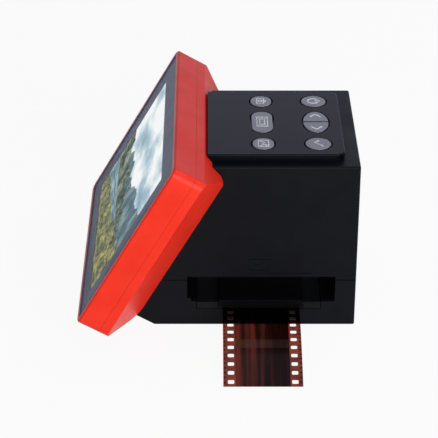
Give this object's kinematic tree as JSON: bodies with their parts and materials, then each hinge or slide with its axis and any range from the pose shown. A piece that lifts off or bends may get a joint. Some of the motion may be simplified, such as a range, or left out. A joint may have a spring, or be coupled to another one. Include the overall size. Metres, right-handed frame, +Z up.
{
  "type": "film negative scanner",
  "caption": "Desktop film scanner: tilted screen housing on a slanted body, keys on a raised plate, side slot with sliding tray, film insert and film strip.",
  "frame": {"origin": "centre of the flat underside of the body, 1.5 mm above the surface that its rubber feet stand on", "axes": "+Z up, -Y towards the person looking at the screen, +X to the side where the film comes out"},
  "size_m": [0.1557, 0.1258, 0.0934],
  "materials": {
    "body_plastic": "fine satin texture",
    "inner_plastic": "matt moulding",
    "insert_plastic": "matt moulding",
    "plate_plastic": "polished",
    "housing_plastic": "semi-gloss moulding",
    "key_plastic": "satin metallic paint",
    "window_glass": "clear, polished",
    "border_ink": "printed border",
    "display": "lit picture",
    "sheet_metal": "plain sheet",
    "ribbon": "flat ribbon cable",
    "steel": "zinc plated",
    "foot_rubber": "matt",
    "circuit_board": "solder mask",
    "chip": "moulded package",
    "socket_metal": "plated shell",
    "lamp_white": "opal white",
    "led": "lens",
    "lens_glass": "polished",
    "film": "colour negative film"
  },
  "bodies": {
    "scanner": {"base_screws": "steel", "base_shell": "body_plastic", "board_screws": "steel", "camera_hood": "inner_plastic", "camera_screws": "steel", "card_socket": "socket_metal", "control_plate": "plate_plastic", "diffuser": "lamp_white", "display_panel": "display", "display_ribbon": "ribbon", "display_screws": "steel", "display_sheet": "sheet_metal", "feet": "foot_rubber", "film_tunnel": "inner_plastic", "housing_screws": "steel", "image_sensor": "chip", "key_board": "circuit_board", "key_board_screws": "steel", "key_switches": "chip", "lamp_board": "circuit_board", "lamp_box": "lamp_white", "lamp_leds": "led", "lens_barrel": "inner_plastic", "lens_front": "lens_glass", "lens_rear": "lens_glass", "lens_ring": "inner_plastic", "main_board": "circuit_board", "main_processor": "chip", "ribbon_socket": "chip", "screen_back": "housing_plastic", "screen_bezel": "housing_plastic", "screen_window": "window_glass", "sensor_board": "circuit_board", "tray_rail_front": "inner_plastic", "tray_rail_rear": "inner_plastic", "upper_shell": "body_plastic", "usb_socket": "socket_metal", "video_socket": "socket_metal", "window_border": "border_ink"},
    "tray": {"film_tray": "inner_plastic"},
    "insert": {"insert_base": "insert_plastic", "insert_cover": "insert_plastic"},
    "film": {"film_strip": "film"},
    "key_camera": {"key_camera": "key_plastic"},
    "key_capture": {"key_capture": "key_plastic"},
    "key_gallery": {"key_gallery": "key_plastic"},
    "key_power": {"key_power": "key_plastic"},
    "key_ok": {"key_ok": "key_plastic"},
    "key_up": {"key_up": "key_plastic"},
    "key_down": {"key_down": "key_plastic"}
  },
  "joints": [
    {"name": "tray_slide", "type": "slide", "parent": "scanner", "child": "tray", "axis": [1, 0, 0], "range_m": [0, 0.052]},
    {"name": "insert_lift", "type": "slide", "parent": "tray", "child": "insert", "axis": [0, 0, 1], "range_m": [0, 0.006]},
    {"name": "film_feed", "type": "slide", "parent": "insert", "child": "film", "axis": [1, 0, 0], "range_m": [0, 0.038]},
    {"name": "camera_press", "type": "slide", "parent": "scanner", "child": "key_camera", "axis": [0, 0, -1], "range_m": [0, 0.0005], "stiffness_N_per_m": 400, "springref_m": -0.0003},
    {"name": "capture_press", "type": "slide", "parent": "scanner", "child": "key_capture", "axis": [0, 0, -1], "range_m": [0, 0.0005], "stiffness_N_per_m": 400, "springref_m": -0.0003},
    {"name": "gallery_press", "type": "slide", "parent": "scanner", "child": "key_gallery", "axis": [0, 0, -1], "range_m": [0, 0.0005], "stiffness_N_per_m": 400, "springref_m": -0.0003},
    {"name": "power_press", "type": "slide", "parent": "scanner", "child": "key_power", "axis": [0, 0, -1], "range_m": [0, 0.0005], "stiffness_N_per_m": 400, "springref_m": -0.0003},
    {"name": "ok_press", "type": "slide", "parent": "scanner", "child": "key_ok", "axis": [0, 0, -1], "range_m": [0, 0.0005], "stiffness_N_per_m": 400, "springref_m": -0.0003},
    {"name": "up_press", "type": "slide", "parent": "scanner", "child": "key_up", "axis": [0, 0, -1], "range_m": [0, 0.0005], "stiffness_N_per_m": 400, "springref_m": -0.0003},
    {"name": "down_press", "type": "slide", "parent": "scanner", "child": "key_down", "axis": [0, 0, -1], "range_m": [0, 0.0005], "stiffness_N_per_m": 400, "springref_m": -0.0003}
  ]
}
